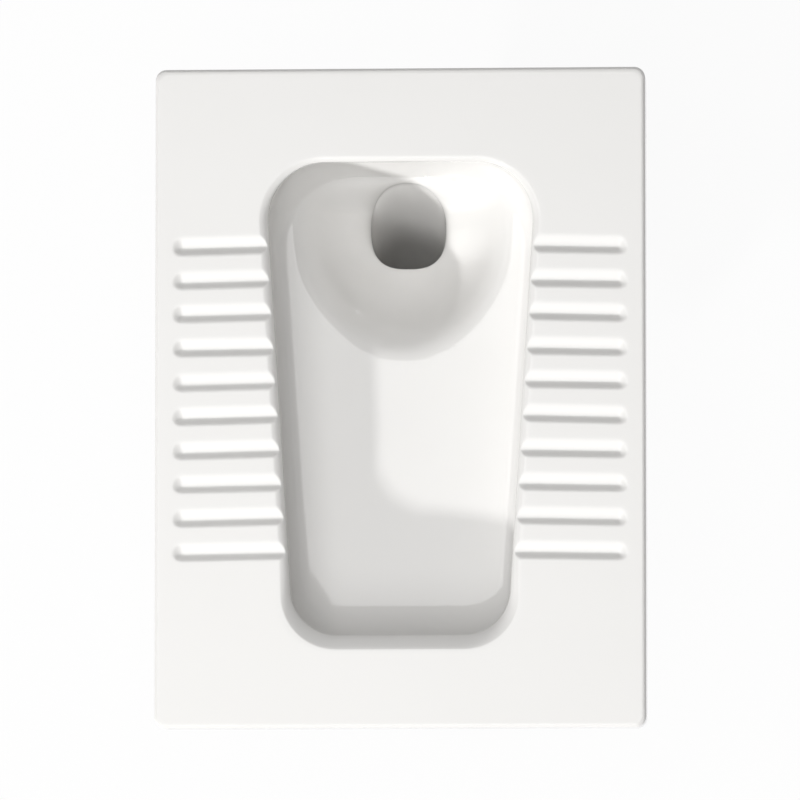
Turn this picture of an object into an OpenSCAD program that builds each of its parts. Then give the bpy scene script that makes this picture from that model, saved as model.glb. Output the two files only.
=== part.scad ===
/* [Foot plate] */
// Width of the foot plate, side to side
plate_w = 446; // [400:1:520]
// Length of the foot plate, end to end
plate_l = 600; // [560:1:700]
// Thickness of the foot plate
plate_t = 14; // [11:0.5:18]
// Height of the top of the plate above the surface that the pan stands on
pan_h = 300; // [285:1:340]
// Radius of the plate's corners, seen from above
corner_r = 10; // [8:0.5:25]
// Radius of the rounded top edge of the plate
edge_r = 5; // [3:0.5:7]
// Depth of the skirt that hangs from the edge of the plate
skirt_h = 38; // [26:1:44]
// Thickness of the skirt
skirt_t = 12; // [9:0.5:15]

/* [Bowl] */
// Distance from the back edge of the plate to the bowl
back_margin = 85; // [70:1:110]
// Distance from the front edge of the plate to the lip of the bowl
front_margin = 86; // [82:1:110]
// Width of the bowl at its back end
bowl_back_w = 241; // [225:1:260]
// Width of the bowl at its front end
bowl_front_w = 200; // [180:1:220]
// Corner radius of the bowl at the back
bowl_back_r = 52; // [45:1:60]
// Corner radius of the bowl at the front
bowl_front_r = 42; // [36:1:50]
// Width of the rounded rim, seen from above
rim_w = 9; // [6:0.5:12]
// Height of the rounded rim
rim_h = 8; // [5:0.5:11]
// Extra width of the rounded rim at the front lip
lip_extra = 5; // [0:0.5:8]
// Depth of the floor of the bowl at its front end
floor_depth = 70; // [66:1:76]
// Fall of the floor from its front end to the drain funnel
floor_fall = 5; // [2:1:8]
// Thickness of the bowl's wall
wall_t = 12; // [9:0.5:14]
// Radius between the side walls and the floor
side_fillet = 16; // [10:1:24]
// Radius between the front wall and the floor
front_fillet = 30; // [20:1:36]
// Slope at the foot of the back wall, seen from above
back_slope = 16; // [12:1:20]
// How far the side walls and the back wall stand back under the rim
side_undercut = 4; // [2:0.5:6]
// How far the front wall stands back under the lip
undercut = 7; // [5:0.5:10]

/* [Drain] */
// Width of the drain hole
drain_w = 69; // [60:1:76]
// Length of the drain hole
drain_l = 77; // [68:1:84]
// Distance from the back wall of the bowl to the drain hole
drain_back = 12; // [9:1:22]
// Depth of the drain hole's edge below the top of the plate
drain_depth = 124; // [112:1:130]
// Reach of the funnel round the drain hole
funnel_r = 113; // [100:1:125]

/* [Trap and outlet] */
// Inside diameter of the cast waterway
water_d = 64; // [56:1:68]
// Wall of the cast waterway
water_wall = 10; // [8:0.5:12]
// Centre-line radius of the bend at the bottom of the trap
dip_r = 50; // [46:1:60]
// Centre-line radius of the bend over the top of the trap
crest_r = 48; // [45:1:56]
// Lean of the waterway below the drain, from the vertical
throat_lean = 20; // [12:1:28]
// Slope of the rising leg of the trap
rise_angle = 50; // [42:1:58]
// Depth of the water seal that stands in the trap
water_seal = 53.5; // [50:0.5:60]
// Outside diameter of the outlet spigot
spigot_d = 102; // [98:0.5:104]
// Wall of the outlet spigot
spigot_wall = 11; // [9:0.5:14]
// Length of the outlet spigot
spigot_l = 54; // [48:1:62]
// Height of the lower end of the outlet spigot
spigot_z = 42; // [36:1:48]
// Width of the flat sole under the trap
sole_w = 116; // [90:1:150]
// Length of the flat sole under the trap
sole_l = 92; // [70:1:120]
// Thickness of the sole below the waterway
sole_t = 3; // [2:0.5:6]

/* [Treads] */
// Number of tread grooves on each side of the bowl
tread_n = 10; // [6:1:11]
// Distance from one tread groove to the next
tread_pitch = 31; // [26:0.5:33]
// Width of a tread groove
tread_w = 18; // [12:0.5:22]
// Depth of a tread groove
tread_depth = 3; // [2:0.25:4]
// Distance from the side edge of the plate to the end of a tread groove
tread_margin = 15; // [12:1:30]
// Slant of the tread grooves
tread_slant = 1.3; // [0:0.1:4]

/* [Flush inlet] */
// Diameter of the flush pipe that the pan takes
pipe_d = 38; // [32:1:40]
// Outside diameter of the cast inlet boss
boss_d = 54; // [50:1:56]
// Wall of the cast inlet boss
boss_wall = 9; // [7:0.5:11]
// Length of the cast inlet boss
boss_l = 22; // [20:1:26]
// Depth of the inlet's axis below the top of the plate
inlet_depth = 64; // [62:1:68]
// Width of the flush chamber behind the front wall of the bowl
chamber_w = 104; // [84:1:120]
// Depth of the flush chamber behind the front wall
chamber_l = 14; // [12:0.5:16]
// Height of the flush chamber
chamber_h = 40; // [34:1:44]
// Wall of the flush chamber
chamber_wall = 8; // [6:0.5:9]
// Width of each of the two flush ports
port_w = 27; // [18:1:32]
// Height of the flush ports
port_h = 16; // [12:1:18]
// Depth of the middle of the flush ports below the top of the plate
port_depth = 64; // [62:0.5:66]
// Web between the two flush ports
port_web = 12; // [8:1:18]
// Wall of the rubber flush cone
cone_wall = 4; // [3:0.5:4.5]
// Length of each of the cone's two cuffs
cuff_l = 18; // [16:0.5:19]
// Length of the taper between the cuffs
taper_l = 6; // [4:0.5:8]

/* [Hose clips] */
// Width of the clip bands
band_w = 10; // [8:0.5:12]
// Thickness of the clip bands
band_t = 0.8; // [0.6:0.1:1.2]
// Diameter of the clip screws' threaded shank
screw_d = 5; // [4:0.5:6]
// Width of the clip screws' hexagon heads, across corners
screw_head_d = 9; // [8:0.5:10]
// Running clearance of the clip screws in their housings
screw_gap = 0.3; // [0.2:0.05:0.5]
// Length of the clip housings along the screw
housing_l = 14; // [12:0.5:16]
// Wall of the clip housings
housing_wall = 1; // [0.8:0.1:1.4]

/* [Outlet connector] */
// Outside diameter of the connector's lower sleeve, which enters the soil pipe's socket
sleeve_d = 110; // [104:1:112]
// Wall of the plastic connector
connector_wall = 3.5; // [2.5:0.5:5]
// Space between the spigot and the connector's socket, which the rubber seal fills
seal_t = 6; // [5:0.5:7]
// Thickness of the seal's own sleeve
seal_wall = 3; // [2:0.5:4]
// Number of fins round the inside of the seal
fin_n = 3; // [2:1:4]
// Length of the spigot that the connector covers
socket_l = 40; // [34:1:44]
// Clearance between round pieces that are pushed together
push_gap = 0.2; // [0.1:0.05:0.4]

/* [Hidden] */
$fn = 64;

glaze = "white";
rubber = "dimgray";
steel = "silver";
plastic = "gainsboro";

// A small length by which one cast solid runs into the next
bite = 4;
// How far a cutter runs past the face it opens
past = 1;

// Ends of the bowl at the top of the plate, along Y
bowl_back_y = plate_l / 2 - back_margin;
bowl_front_y = -plate_l / 2 + front_margin;
drain_y = bowl_back_y - drain_back - drain_l / 2;
drain_z = pan_h - drain_depth;

// ---- Outlines: rounded trapezoids, all with the same number of points ----

arc_n = 7;
side_n = 11;
end_n = 4;

function arc(c, r, a0, a1) =
    [for (i = [0 : arc_n]) let (t = a0 + (a1 - a0) * i / arc_n) c + r * [cos(t), sin(t)]];
function between(p, q, n) = [for (i = [1 : n - 1]) p + (q - p) * i / n];

// o = [back y, front y, half width at back, half width at front, back radius, front radius]
function outline(o) =
    let (
        slant = atan2(o[2] - o[3], o[0] - o[4] - o[1] - o[5]),
        cb = [o[2] - o[4], o[0] - o[4]],
        cf = [o[3] - o[5], o[1] + o[5]],
        fr = arc(cf, o[5], -90, -slant),
        br = arc(cb, o[4], -slant, 90),
        bl = arc([-cb.x, cb.y], o[4], 90, 180 + slant),
        fl = arc([-cf.x, cf.y], o[5], 180 + slant, 270)
    )
    concat(
        fr, between(fr[arc_n], br[0], side_n),
        br, between(br[arc_n], bl[0], end_n),
        bl, between(bl[arc_n], fl[0], side_n),
        fl, between(fl[arc_n], fr[0], end_n)
    );

// The bowl's outline moved in by a distance at its back, sides and front, with its back corners rounded more
function bowl_outline(back, side, front, rounder = 0) = [
    bowl_back_y - back,
    bowl_front_y + front,
    bowl_back_w / 2 - side,
    bowl_front_w / 2 - side,
    max(bowl_back_r - side + rounder, 4),
    max(bowl_front_r - side, 4)
];
// How much smaller the drain hole's corner radii are than half its width
drain_back_flat = 1;
drain_front_flat = 9;
drain_outline = [
    drain_y + drain_l / 2, drain_y - drain_l / 2,
    drain_w / 2, drain_w / 2,
    drain_w / 2 - drain_back_flat, drain_w / 2 - drain_front_flat
];
function mix(a, b, t) = a + (b - a) * t;
function clamp01(t) = min(max(t, 0), 1);
function smooth(t) = let (c = clamp01(t)) c * c * (3 - 2 * c);

// ---- Inner surface of the bowl ----

// Depth of the floor below the plate: a shelf that falls towards the drain, then a funnel
funnel_curve = 1.8;
function funnel(p) =
    let (d = norm([p.x, p.y - drain_y]) - drain_l / 2)
    pow(1 - clamp01(d / (funnel_r - drain_l / 2)), funnel_curve);
function shelf_depth(p) =
    floor_depth + floor_fall * clamp01((p.y - bowl_front_y) / (drain_y - funnel_r - bowl_front_y));
function depth(p) = mix(shelf_depth(p), drain_depth, funnel(p));

// Part of the wall's height at which the floor fillet starts
fillet_u = 0.5;
// Extra radius of the back corners at the floor
corner_growth = 26;
function low_share(u) = clamp01((u - fillet_u) / (1 - fillet_u));
function fillet_in(u) = 1 - sqrt(1 - pow(low_share(u), 2));
function under_rim(u) = smooth((u - 0.06) / 0.2);
function side_in(u) = -side_undercut * under_rim(u) + side_fillet * fillet_in(u);
function back_in(u) = -side_undercut * under_rim(u) + back_slope * pow(low_share(u), 1.3);
function front_in(u) = -undercut * under_rim(u) + front_fillet * fillet_in(u);
function wall_outline(u) = bowl_outline(back_in(u), side_in(u), front_in(u), corner_growth * smooth(u));

function flat_ring(o, z) = [for (p = outline(o)) [p.x, p.y, z]];
// Rounded rim: a quarter ellipse from the plate (phi 0) to the top of the wall (phi 90)
function rim_ring(phi) =
    let (k = 1 - sin(phi))
    flat_ring(bowl_outline(-rim_w * k, -rim_w * k, -(rim_w + lip_extra) * k),
              pan_h - rim_h * (1 - cos(phi)));
function wall_ring(u) = [
    for (p = outline(wall_outline(u))) [p.x, p.y, pan_h - mix(rim_h, depth(p), u)]
];
foot_outline = wall_outline(1);
function floor_ring(t) = [
    for (p = outline(mix(foot_outline, drain_outline, t))) [p.x, p.y, pan_h - depth(p)]
];

// ---- Throat: from the drain hole to the round waterway ----

throat_dir = [0, -sin(throat_lean), -cos(throat_lean)];
throat_up = [0, cos(throat_lean), -sin(throat_lean)];
drain_c = [0, drain_y, drain_z];
// Straight bit left between the corners of an outline that is nearly round
round_flat = 0.5;
function round_outline(r) = [r, -r, r, r, r - round_flat, r - round_flat];
// A ring across the throat, s along its axis below the drain
function throat_ring(o, s, tilt) = [
    for (p = outline(o))
        drain_c + s * throat_dir + p.x * [1, 0, 0] + p.y * mix([0, 1, 0], throat_up, tilt)
];
drain_local = [
    drain_l / 2, -drain_l / 2, drain_w / 2, drain_w / 2,
    drain_w / 2 - drain_back_flat, drain_w / 2 - drain_front_flat
];
throat_l = 52;
// Places along the throat where its skin changes shape
throat_upper = 16;
throat_lower = 32;
throat_root = 38;
// How much wider than the pipe the throat is, inside and outside
throat_ease = 1.5;
throat_swell = 4;
throat_flare = 2;
throat_in_r = water_d / 2 + throat_ease;
throat_out_r = water_d / 2 + water_wall + throat_swell;

// ---- Outer surface of the casting ----

function out_floor_ring(t) = [
    for (p = outline(mix(foot_outline, drain_outline, t) + wall_t * [1, -1, 1, 1, 1, 1]))
        [p.x, p.y, pan_h - depth(p) - wall_t]
];
function out_wall_ring(u) = [
    for (p = outline(wall_outline(u) + wall_t * [1, -1, 1, 1, 1, 1]))
        [p.x, p.y, pan_h - mix(rim_h, depth(p), u) - wall_t * smooth(u)]
];
function plate_outline(inset) =
    let (r = max(corner_r - inset, 1))
    [plate_l / 2 - inset, -plate_l / 2 + inset, plate_w / 2 - inset, plate_w / 2 - inset, r, r];
function edge_ring(phi) =
    flat_ring(plate_outline(edge_r * (1 - cos(phi))), pan_h - edge_r * (1 - sin(phi)));

wall_steps = [0.15, 0.3, 0.5, 0.68, 0.8, 0.88, 0.94, 0.98, 1];
floor_steps = [0.1, 0.2, 0.3, 0.4, 0.5, 0.58, 0.66, 0.73, 0.8, 0.86, 0.92, 0.97];
out_steps = [0, 0.25, 0.5, 0.75, 0.9];
// Part of the wall's height at which it stands back fully under the rim
top_fillet_u = 0.3;
plate_under = pan_h - plate_t;
skirt_z = pan_h - skirt_h;

shell_rings = concat(
    [flat_ring(plate_outline(skirt_t), skirt_z), flat_ring(plate_outline(0), skirt_z)],
    [for (phi = [0 : 30 : 90]) edge_ring(phi)],
    [for (phi = [0 : 18 : 90]) rim_ring(phi)],
    [for (u = wall_steps) wall_ring(u)],
    [for (t = floor_steps) floor_ring(t)],
    [throat_ring(drain_local, 0, 0)],
    [throat_ring(mix(drain_local, round_outline(throat_in_r), 0.45), throat_upper, 0.45)],
    [throat_ring(mix(drain_local, round_outline(throat_in_r), 0.85), throat_lower, 0.85)],
    [throat_ring(round_outline(throat_in_r), throat_l, 1)],
    [throat_ring(round_outline(throat_out_r), throat_l, 1)],
    [throat_ring(round_outline(throat_out_r + throat_flare), throat_root, 1)],
    [for (i = [len(out_steps) - 1 : -1 : 1]) out_floor_ring(out_steps[i])],
    [for (i = [len(wall_steps) - 1 : -2 : 2]) out_wall_ring(wall_steps[i])],
    [flat_ring(wall_outline(top_fillet_u) + wall_t * [1, -1, 1, 1, 1, 1], plate_under)],
    [flat_ring(plate_outline(skirt_t), plate_under)]
);

// Joins rings into one closed skin, the last ring back to the first
module skin(rings) {
    m = len(rings);
    n = len(rings[0]);
    faces = [
        for (i = [0 : m - 1], j = [0 : n - 1])
            let (a = i * n, b = (i + 1) % m * n, k = (j + 1) % n)
            each [[a + j, b + k, a + k], [a + j, b + j, b + k]]
    ];
    polyhedron(points = [for (r = rings) each r], faces = faces, convexity = 10);
}

// ---- Trap: a round pipe bent in the plane X = 0, down from the drain, up and over ----

tube_r = water_d / 2 + water_wall;
dip_z = sole_t + tube_r + dip_r;
down_l = (drain_z - dip_z + dip_r * sin(throat_lean)) / cos(throat_lean);
dip_y = drain_y - down_l * sin(throat_lean) - dip_r * cos(throat_lean);
crest_z = dip_z - dip_r + water_d + water_seal - crest_r;
rise_y = dip_y - dip_r * sin(rise_angle);
rise_z = dip_z - dip_r * cos(rise_angle);
rise_l = (crest_z + crest_r * cos(rise_angle) - rise_z) / sin(rise_angle);
crest_y = rise_y - rise_l * cos(rise_angle) - crest_r * sin(rise_angle);
outlet_y = crest_y - crest_r;
spigot_top = spigot_z + spigot_l;
spigot_cone_h = 12;
spigot_ledge = 1.5;
// How much wider than the waterway the spigot's upper end is bored
spigot_ease = 1;

// The trap's centre line as [y, z, heading], the heading turned from +Y towards +Z
bend_step = 15;
function dip_at(a) =
    [dip_y + dip_r * cos(a), dip_z + dip_r * sin(a), a - 90];
function crest_at(a) =
    [crest_y + crest_r * cos(a), crest_z + crest_r * sin(a), a - 270];
dip_n = ceil((90 + rise_angle - throat_lean) / bend_step);
crest_n = ceil((90 + rise_angle) / bend_step);
trap_path = concat(
    [[drain_y - throat_l / 2 * sin(throat_lean), drain_z - throat_l / 2 * cos(throat_lean),
      -90 - throat_lean]],
    [for (i = [0 : dip_n]) dip_at(mix(-throat_lean, -90 - rise_angle, i / dip_n))],
    [for (i = [0 : crest_n]) crest_at(mix(90 - rise_angle, 180, i / crest_n))],
    [[outlet_y, spigot_top - bite, -90]]
);
trap_sides = 28;
function trap_ring(c, r) = [
    for (i = [0 : trap_sides - 1])
        let (t = 360 * i / trap_sides)
        [r * cos(t), c[0] - r * sin(t) * sin(c[2]), c[1] + r * sin(t) * cos(c[2])]
];
// The wall of the waterway, from the throat to the outlet
module trap() {
    skin(concat(
        [for (c = trap_path) trap_ring(c, water_d / 2)],
        [for (i = [len(trap_path) - 1 : -1 : 0]) trap_ring(trap_path[i], tube_r)]
    ));
}
module sole() {
    difference() {
        block(sole_w, dip_y - sole_l / 2, dip_y + sole_l / 2, 0, sole_t + water_wall);
        translate([0, dip_y, dip_z]) rotate([0, 90, 0])
            cylinder(h = sole_w, r = dip_r + water_d / 2 + water_wall / 2, center = true);
    }
}
// A web that hangs the crest of the trap from the underside of the shelf
crest_web_l = 50;
module crest_web() {
    block(web_t, crest_y - crest_web_l / 2, crest_y + crest_web_l / 2,
          crest_z + crest_r + water_d / 2 + bite,
          pan_h - shelf_depth([0, crest_y]) - wall_t + bite);
}
// The straight spigot below the trap, bored wider than the waterway
module spigot() {
    difference() {
        union() {
            translate([0, outlet_y, spigot_z]) cylinder(h = spigot_l, r = spigot_d / 2);
            translate([0, outlet_y, spigot_top])
                cylinder(h = spigot_cone_h, r1 = spigot_d / 2, r2 = tube_r + spigot_ledge);
        }
        translate([0, outlet_y, spigot_z - past])
            cylinder(h = spigot_l - bite + past, r = spigot_d / 2 - spigot_wall);
        translate([0, outlet_y, spigot_z])
            cylinder(h = spigot_l + spigot_cone_h + past, r = water_d / 2 + spigot_ease);
    }
}

// ---- Flush inlet: chamber behind the front wall, its boss, and two ports under the lip ----

inlet_z = pan_h - inlet_depth;
front_wall_y = bowl_front_y - undercut;
chamber_back_y = front_wall_y - chamber_wall;
chamber_front_y = chamber_back_y - chamber_l;
boss_root_y = chamber_front_y - chamber_wall;
boss_end_y = boss_root_y - boss_l;
boss_bore_r = boss_d / 2 - boss_wall;
// Height of the chamber above its ports
port_lintel = 3;
chamber_z = inlet_z - chamber_h / 2;
port_z = pan_h - port_depth - port_h / 2;

// A block centred on X = 0, between two places along Y and two heights
module block(w, y0, y1, z0, z1) {
    translate([-w / 2, y0, z0]) cube([w, y1 - y0, z1 - z0]);
}
// A cylinder along -Y on the inlet's axis
module inlet_rod(r, y0, l) {
    translate([0, y0, inlet_z]) rotate([90, 0, 0]) cylinder(h = l, r = r);
}
module chamber() {
    block(chamber_w, boss_root_y, front_wall_y - bite, chamber_z - chamber_wall, plate_under + bite);
    // The lower part of its back wall, below the fillet of the bowl
    block(chamber_w, boss_root_y, front_wall_y, chamber_z - chamber_wall, inlet_z);
}
module chamber_hollow() {
    block(chamber_w - 2 * chamber_wall, chamber_front_y, chamber_back_y,
          chamber_z, max(chamber_z + chamber_h, port_z + port_h + port_lintel));
    for (side = [-1, 1])
        translate([side * (port_web + port_w) / 2, 0, 0])
            block(port_w, chamber_front_y + past, front_wall_y + 2 * wall_t, port_z, port_z + port_h);
}

// ---- Treads: round-bottomed grooves that run out over the rim of the bowl ----

// Radius of a round cutter that leaves a groove of this width and depth
tread_r = (pow(tread_w / 2, 2) + pow(tread_depth, 2)) / (2 * tread_depth);
tread_out_x = plate_w / 2 - tread_margin - tread_w / 2;

function bowl_half(y) =
    mix(bowl_front_w, bowl_back_w, (y - bowl_front_y) / (bowl_back_y - bowl_front_y)) / 2;

module tread(side, y) {
    l = tread_out_x - bowl_half(y) + past;
    sag = l / 2 * sin(tread_slant);
    translate([side * tread_out_x, y - sag, pan_h - tread_depth + tread_r])
        rotate([0, 0, -side * tread_slant]) rotate([0, -side * 90, 0]) {
            cylinder(h = l, r = tread_r);
            sphere(r = tread_r);
        }
}
module treads() {
    for (i = [0 : tread_n - 1], side = [-1, 1]) tread(side, (i - (tread_n - 1) / 2) * tread_pitch);
}

// ---- Stiffening webs cast between the bowl and the skirt ----

web_t = 10;
web_drop = 4;
module webs() {
    for (side = [-1, 1], end = [-1, 1])
        let (y = end * plate_l / 6, x0 = bowl_half(y) + wall_t / 2, x1 = plate_w / 2 - skirt_t + bite)
        translate([side > 0 ? x0 : -x1, y - web_t / 2, skirt_z + web_drop])
            cube([x1 - x0, web_t, plate_under + bite - skirt_z - web_drop]);
}

// One casting in glazed vitreous china
module pan() color(glaze) difference() {
    union() {
        skin(shell_rings);
        trap();
        spigot();
        sole();
        crest_web();
        chamber();
        inlet_rod(boss_d / 2, boss_root_y + bite, boss_l + bite);
        webs();
    }
    chamber_hollow();
    inlet_rod(boss_bore_r, chamber_front_y + past, chamber_wall + boss_l + 2 * past);
    treads();
}

// ---- Rubber flush cone: one cuff on the boss, a smaller one for the flush pipe ----

cone_root_y = boss_end_y + cuff_l;
cone_end_y = boss_end_y - taper_l - cuff_l;
boss_cuff_r = boss_d / 2 + push_gap;
pipe_cuff_r = pipe_d / 2;
// Height of the inner rib that stops the pipe and the boss
cone_stop = 2;

module revolve_inlet(y0) {
    translate([0, y0, inlet_z]) rotate([90, 0, 0]) rotate_extrude() children();
}
module flush_cone() color(rubber) revolve_inlet(cone_root_y) polygon([
    [boss_cuff_r, 0], [boss_cuff_r + cone_wall, 0],
    [boss_cuff_r + cone_wall, cuff_l],
    [pipe_cuff_r + cone_wall, cuff_l + taper_l],
    [pipe_cuff_r + cone_wall, 2 * cuff_l + taper_l],
    [pipe_cuff_r, 2 * cuff_l + taper_l],
    [pipe_cuff_r, cuff_l + taper_l],
    [pipe_cuff_r - cone_stop, cuff_l + taper_l],
    [pipe_cuff_r - cone_stop, cuff_l + push_gap],
    [boss_cuff_r, cuff_l + push_gap]
]);

// ---- Worm-drive hose clips: band, housing and screw ----

boss_clip_y = (cone_root_y + boss_end_y) / 2;
pipe_clip_y = cone_end_y + cuff_l / 2;
boss_clip_r = boss_cuff_r + cone_wall + push_gap;
pipe_clip_r = pipe_cuff_r + cone_wall + push_gap;
tail_start = -38;
tail_turn = 56;
bore_r = screw_d / 2 + screw_gap;
housing_w = band_w + 2 * housing_wall;
housing_h = 2 * (bore_r + housing_wall);
screw_collar_t = 1;
collar_over = 0.6;
screw_head_h = 4.5;
slot_w = 1.2;
slot_depth = 1.5;

// Puts a clip, drawn about Z with its housing on +X, round the inlet's axis
module on_inlet(y) {
    translate([0, y, inlet_z]) rotate([90, 0, 0]) children();
}
// Distance from the inlet's axis to the axis of a clip's screw
function screw_x(r) = r + 2 * band_t + push_gap + housing_h / 2;

module clip_band(r) color(steel) {
    difference() {
        translate([0, 0, -band_w / 2]) cylinder(h = band_w, r = r + band_t);
        translate([0, 0, -band_w / 2 - past]) cylinder(h = band_w + 2 * past, r = r);
    }
    // The free tail lies on the band and passes under the housing
    rotate([0, 0, tail_start]) rotate_extrude(angle = tail_turn)
        translate([r + band_t / 2, -band_w / 2]) square([band_t * 3 / 2, band_w]);
}
module clip_housing(r) color(steel) difference() {
    translate([screw_x(r) - housing_h / 2, -housing_l / 2, -housing_w / 2])
        cube([housing_h, housing_l, housing_w]);
    translate([screw_x(r), housing_l / 2 + past, 0]) rotate([90, 0, 0])
        cylinder(h = housing_l + 2 * past, r = bore_r);
}
module clip_screw(r) color(steel) translate([screw_x(r), 0, 0]) rotate([-90, 0, 0]) {
    reach = housing_l / 2 + screw_gap;
    translate([0, 0, -reach - screw_collar_t]) cylinder(h = screw_collar_t, r = bore_r + collar_over);
    translate([0, 0, -reach - screw_collar_t / 2]) cylinder(h = 2 * reach + screw_collar_t, r = screw_d / 2);
    translate([0, 0, reach]) cylinder(h = screw_collar_t, r = screw_head_d / 2);
    translate([0, 0, reach + screw_collar_t / 2]) difference() {
        cylinder(h = screw_head_h, r = screw_head_d / 2, $fn = 6);
        translate([-screw_head_d, -slot_w / 2, screw_head_h - slot_depth])
            cube([2 * screw_head_d, slot_w, 2 * slot_depth]);
    }
}
module boss_clip_band() on_inlet(boss_clip_y) clip_band(boss_clip_r);
module boss_clip_housing() on_inlet(boss_clip_y) clip_housing(boss_clip_r);
module boss_clip_screw() on_inlet(boss_clip_y) clip_screw(boss_clip_r);
module pipe_clip_band() on_inlet(pipe_clip_y) clip_band(pipe_clip_r);
module pipe_clip_housing() on_inlet(pipe_clip_y) clip_housing(pipe_clip_r);
module pipe_clip_screw() on_inlet(pipe_clip_y) clip_screw(pipe_clip_r);

// ---- Outlet connector: a plastic socket on the spigot, sealed by a finned rubber ring ----

socket_r = spigot_d / 2 + seal_t;
seal_top = spigot_z + socket_l;
seal_flange = 3;
shoulder_t = 4;

module revolve_outlet() {
    translate([0, outlet_y, 0]) rotate_extrude() children();
}
module connector_seal() color(rubber) revolve_outlet() {
    r1 = socket_r - push_gap;
    r0 = r1 - seal_wall;
    tip_r = spigot_d / 2 + push_gap;
    pitch = socket_l / (fin_n + 1);
    polygon([
        [r0, spigot_z + 1], [r1, spigot_z + 1], [r1, seal_top],
        [socket_r + connector_wall, seal_top], [socket_r + connector_wall, seal_top + seal_flange],
        [tip_r, seal_top + seal_flange], [r0, seal_top]
    ]);
    for (i = [1 : fin_n])
        let (z = spigot_z + i * pitch)
        polygon([[r0 + 0.5, z - 2], [r0 + 0.5, z + 2], [tip_r, z - 1], [tip_r, z - 2]]);
}
module outlet_connector() color(plastic) revolve_outlet() polygon([
    [sleeve_d / 2 - connector_wall, 0], [sleeve_d / 2 - 1, 0], [sleeve_d / 2, 3],
    [sleeve_d / 2, spigot_z - shoulder_t],
    [socket_r + connector_wall, spigot_z - 1],
    [socket_r + connector_wall, seal_top],
    [socket_r, seal_top],
    [socket_r, spigot_z],
    [spigot_d / 2 - spigot_wall, spigot_z],
    [spigot_d / 2 - spigot_wall, spigot_z - shoulder_t],
    [sleeve_d / 2 - connector_wall, spigot_z - shoulder_t]
]);

pan();
flush_cone();
boss_clip_band();
boss_clip_housing();
boss_clip_screw();
pipe_clip_band();
pipe_clip_housing();
pipe_clip_screw();
connector_seal();
outlet_connector();
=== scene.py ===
import bpy
import numpy as np
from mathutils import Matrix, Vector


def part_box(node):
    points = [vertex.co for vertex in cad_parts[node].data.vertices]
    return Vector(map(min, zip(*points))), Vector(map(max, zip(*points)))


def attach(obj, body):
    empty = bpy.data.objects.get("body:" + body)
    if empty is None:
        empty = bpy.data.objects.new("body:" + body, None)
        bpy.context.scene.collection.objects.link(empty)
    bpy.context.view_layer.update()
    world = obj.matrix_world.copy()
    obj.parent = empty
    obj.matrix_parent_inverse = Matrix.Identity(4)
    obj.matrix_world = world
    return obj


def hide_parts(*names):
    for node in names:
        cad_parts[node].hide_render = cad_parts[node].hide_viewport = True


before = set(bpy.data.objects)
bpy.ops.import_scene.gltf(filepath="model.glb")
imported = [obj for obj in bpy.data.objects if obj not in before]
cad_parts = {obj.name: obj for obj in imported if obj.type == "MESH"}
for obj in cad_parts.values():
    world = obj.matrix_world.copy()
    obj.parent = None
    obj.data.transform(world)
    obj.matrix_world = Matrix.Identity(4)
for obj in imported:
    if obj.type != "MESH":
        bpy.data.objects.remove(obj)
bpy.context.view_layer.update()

# ---- The pan's glazed face ----
# The pan is one slip-cast piece of vitreous china. Its glazed face runs as one sheet over the foot plate, down
# the bowl, through the drain and the trap, and out of the spigot. Here that sheet is the wall of a mould core,
# which the next section takes out of the solid casting. All lengths of the pan are in millimetres.

mm = 0.001
pan_low, pan_high = (np.array(corner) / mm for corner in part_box("pan"))
plate_w = pan_high[0] - pan_low[0]
plate_l = 2 * pan_high[1]
top_z = pan_high[2]

# The plate, then the bowl's outline and its rim, which is narrow at the back and a wide lip at the front
corner_r, edge_r = 10, 3.5
skirt_h, skirt_round = 38, 2
bowl_back = plate_l / 2 - 85
bowl_front = -plate_l / 2 + 84.5
bowl_back_half, bowl_front_half = 120.5, 100
bowl_back_r, bowl_front_r = 52, 42
rim_w, rim_h = 9, 8
back_rim_w, back_rim_h = 5.5, 5
lip_w, lip_h, lip_power = 14, 11, 1.3

# The floor's depth below the plate, and how far the walls go out under the rim and in at their feet
floor_depth, floor_fall, floor_dish = 68, 5, 5
side_undercut, back_undercut, lip_undercut = 4, 9, 7
side_fillet, front_fillet, back_slope, corner_growth = 16, 42, 14, 26

# The drain hole, the funnel that leads to it, and the roll at the hole's edge, which is lower at the front
drain_w, drain_l = 69, 77
drain_y = bowl_back - 9.5 - drain_l / 2
drain_depth, drain_back_rise = 134, 24
drain_front_power, drain_back_power = 2.8, 2.15
funnel_w, funnel_l, funnel_curve, funnel_blend = 92, 112, 1.5, 0.3
roll_share, roll_drop, roll_front = 0.3, 14, 0.2

# Where the sides' rim and wall turn into those of the two ends, from Y = 0, and over what length
back_turn_y, back_turn_l = 165, 40
front_turn_y, front_turn_l = 150, 55

# Points along a half outline: on each end's edge, round each corner, and beside the treads up to tread_side
edge_n, corner_n, side_n = 10, 42, 220
tread_side = 160


def arc(centre, radius, start, stop, count):
    """Points of a circle: centre plus radius times (cos, sin) of count + 1 even angles from start to stop."""
    angle = np.radians(np.linspace(start, stop, count + 1))
    return np.array(centre) + radius * np.stack([np.cos(angle), np.sin(angle)], axis=-1)


def along(path, share):
    """Points of a path at shares of its whole length, in straight lines between the path's own points."""
    length = np.concatenate([[0], np.cumsum(np.linalg.norm(np.diff(path, axis=0), axis=1))])
    return np.stack([np.interp(share * length[-1], length, axis) for axis in path.T], axis=-1)


def joined(parts, counts):
    """Spaces each part of a path evenly by its own count, and chains the parts without doubled points."""
    spaced = [along(np.array(part, float), np.linspace(0, 1, n + 1)) for part, n in zip(parts, counts)]
    return np.vstack([part[:-1] for part in spaced] + [spaced[-1][-1:]])


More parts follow.
